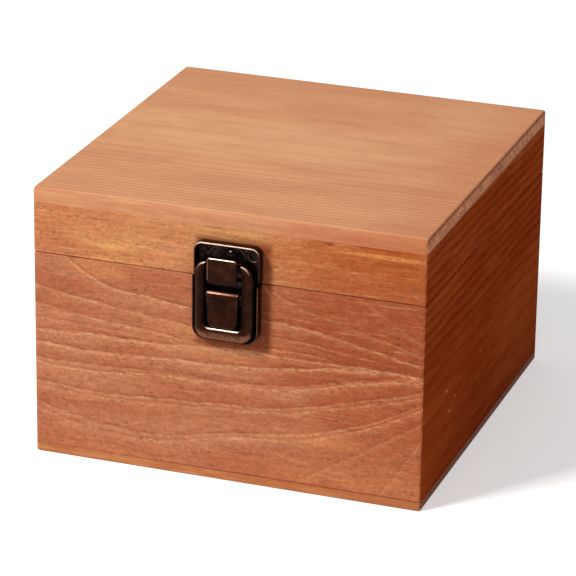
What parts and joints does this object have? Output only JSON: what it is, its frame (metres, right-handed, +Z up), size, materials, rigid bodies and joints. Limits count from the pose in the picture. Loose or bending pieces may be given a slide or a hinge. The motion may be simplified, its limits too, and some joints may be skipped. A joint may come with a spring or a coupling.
{
  "type": "storage box",
  "caption": "Square wooden storage box with a rear-hinged lid and a pressed-metal toggle latch that draws the lid shut.",
  "frame": {"origin": "middle of the box's underside", "axes": "+X to the right seen from the front, +Y from the latch's side to the hinges' side, +Z up"},
  "size_m": [0.172, 0.1889, 0.12],
  "materials": {
    "stained_wood": "softwood stained reddish brown, satin, grain open, arrises sanded",
    "antique_bronze": "dark antique bronze plating on pressed sheet, satin, worn bright along the edges",
    "fixing_metal": "dark bronze plated screws, pins and tack"
  },
  "bodies": {
    "case": {"front_board": "stained_wood", "back_board": "stained_wood", "left_board": "stained_wood", "right_board": "stained_wood", "bottom_panel": "stained_wood", "left_hinge_case_leaf": "antique_bronze", "left_hinge_case_screws": "fixing_metal", "left_hinge_pin": "fixing_metal", "right_hinge_case_leaf": "antique_bronze", "right_hinge_case_screws": "fixing_metal", "right_hinge_pin": "fixing_metal", "latch_base_plate": "antique_bronze", "latch_base_screws": "fixing_metal", "latch_lever_pin": "fixing_metal"},
    "lid": {"top_panel": "stained_wood", "lid_front_rail": "stained_wood", "lid_back_rail": "stained_wood", "lid_left_rail": "stained_wood", "lid_right_rail": "stained_wood", "left_hinge_lid_leaf": "antique_bronze", "left_hinge_lid_screws": "fixing_metal", "right_hinge_lid_leaf": "antique_bronze", "right_hinge_lid_screws": "fixing_metal", "strike_plate": "antique_bronze", "strike_screws": "fixing_metal", "strike_tack": "fixing_metal"},
    "lever": {"latch_lever": "antique_bronze", "latch_ring_pin": "fixing_metal"},
    "ring": {"latch_ring": "antique_bronze"}
  },
  "joints": [
    {"name": "lid_hinge", "type": "hinge", "parent": "case", "child": "lid", "pos_m": [0, 0.0905, 0.09115], "axis": [-1, 0, 0], "range_deg": [0, 180]},
    {"name": "latch_lever_hinge", "type": "hinge", "parent": "case", "child": "lever", "pos_m": [0.0009, -0.0931, 0.0857], "axis": [-1, 0, 0], "range_deg": [0, 130]},
    {"name": "latch_ring_hinge", "type": "hinge", "parent": "lever", "child": "ring", "pos_m": [0.0009, -0.09245, 0.08267], "axis": [-1, 0, 0], "range_deg": [-125, 0]}
  ],
  "couplings": [
    {"joint": "latch_ring_hinge", "follows": "latch_lever_hinge", "ratio": -0.94}
  ]
}
